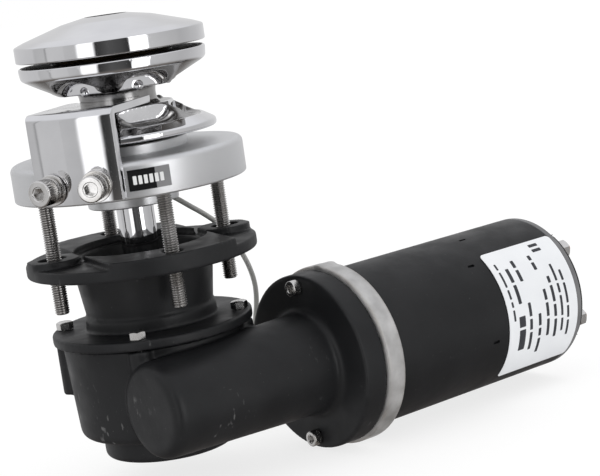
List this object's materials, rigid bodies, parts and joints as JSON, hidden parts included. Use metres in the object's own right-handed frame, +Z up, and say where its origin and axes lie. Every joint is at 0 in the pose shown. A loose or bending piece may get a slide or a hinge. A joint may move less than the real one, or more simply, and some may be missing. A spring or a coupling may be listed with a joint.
{
  "type": "anchor windlass",
  "caption": "Vertical anchor windlass: polished chain wheel and clutch cap above a deck flange, with a worm gearbox and a sideways DC motor hanging below the deck.",
  "frame": {"origin": "on the drive shaft's axis, at the deck flange's underside (the deck's surface)", "axes": "+Z up along the drive shaft, +X along the motor's axis towards its terminals, +Y away from the worm"},
  "size_m": [0.3211, 0.1681, 0.2514],
  "materials": {
    "polished_stainless": "mirror-polished stainless steel",
    "stainless_steel": "plain machined steel",
    "anodised_aluminium": "satin anodised",
    "black_paint": "satin black paint on cast aluminium",
    "cast_alloy": "as cast, mottled",
    "black_tube": "satin black paint on steel tube",
    "bronze": "machined bronze",
    "black_rubber": "matt black",
    "copper": "copper",
    "ferrite": "sintered ferrite",
    "cable_grey": "light grey cable jacket",
    "label_film": "white label film with plain printed bars",
    "carbon": "matt black"
  },
  "bodies": {
    "housing": {"deck_flange": "anodised_aluminium", "deck_stud_1": "stainless_steel", "deck_stud_2": "stainless_steel", "deck_stud_3": "stainless_steel", "deck_stud_4": "stainless_steel", "chain_stripper": "polished_stainless", "stripper_washer_1": "stainless_steel", "stripper_washer_2": "stainless_steel", "stripper_lock_washer_1": "stainless_steel", "stripper_lock_washer_2": "stainless_steel", "stripper_screw_1": "stainless_steel", "stripper_screw_2": "stainless_steel", "upper_housing": "black_paint", "oil_seal": "black_rubber", "upper_bearing": "stainless_steel", "lower_bearing": "stainless_steel", "gear_case": "black_paint", "case_gasket": "black_rubber", "case_bolt_1": "stainless_steel", "case_bolt_2": "stainless_steel", "case_bolt_3": "stainless_steel", "case_bolt_4": "stainless_steel", "worm_bearing_far": "stainless_steel", "motor_front_bell": "cast_alloy", "motor_front_bearing": "stainless_steel", "motor_tube": "black_tube", "motor_end_cap": "cast_alloy", "motor_rear_bearing": "stainless_steel", "terminal_board": "black_rubber", "terminal_stud_1": "copper", "terminal_stud_2": "copper", "terminal_nut_1": "stainless_steel", "terminal_nut_2": "stainless_steel", "motor_flange_screw_1": "stainless_steel", "motor_flange_screw_2": "stainless_steel", "field_magnet_1": "ferrite", "field_magnet_2": "ferrite", "motor_brush_1": "carbon", "motor_brush_2": "carbon", "brush_plate": "bronze", "flange_tag": "carbon", "motor_label": "label_film", "chain_sensor": "stainless_steel", "cable_gland": "black_rubber", "sensor_cable": "cable_grey", "cable_coil": "cable_grey", "cable_plug": "carbon", "cable_tie": "black_rubber"},
    "drive": {"drive_shaft": "polished_stainless", "worm_wheel": "bronze", "wheel_key": "stainless_steel", "lower_clutch_cone": "bronze", "clutch_key": "stainless_steel"},
    "chain_wheel": {"gypsy": "polished_stainless", "sensor_magnet": "ferrite"},
    "upper_cone": {"upper_clutch_cone": "bronze"},
    "cap": {"clutch_cap": "polished_stainless"},
    "armature": {"worm_shaft": "stainless_steel", "armature_core": "copper", "commutator": "copper"}
  },
  "joints": [
    {"name": "shaft_spin", "type": "hinge", "parent": "housing", "child": "drive", "pos_m": [0, 0, 0], "axis": [0, 0, 1], "continuous": true},
    {"name": "chain_wheel_spin", "type": "hinge", "parent": "drive", "child": "chain_wheel", "pos_m": [0, 0, 0], "axis": [0, 0, 1], "continuous": true},
    {"name": "upper_cone_slide", "type": "slide", "parent": "drive", "child": "upper_cone", "axis": [0, 0, 1], "range_m": [0, 0.0016]},
    {"name": "cap_turn", "type": "hinge", "parent": "upper_cone", "child": "cap", "pos_m": [0, 0, 0], "axis": [0, 0, 1], "range_deg": [0, 270]},
    {"name": "motor_spin", "type": "hinge", "parent": "housing", "child": "armature", "pos_m": [0, -0.05, -0.1092], "axis": [1, 0, 0], "continuous": true}
  ],
  "couplings": [
    {"joint": "motor_spin", "follows": "shaft_spin", "ratio": -30},
    {"joint": "upper_cone_slide", "follows": "cap_turn", "m_per_rad": 0.00031831}
  ]
}
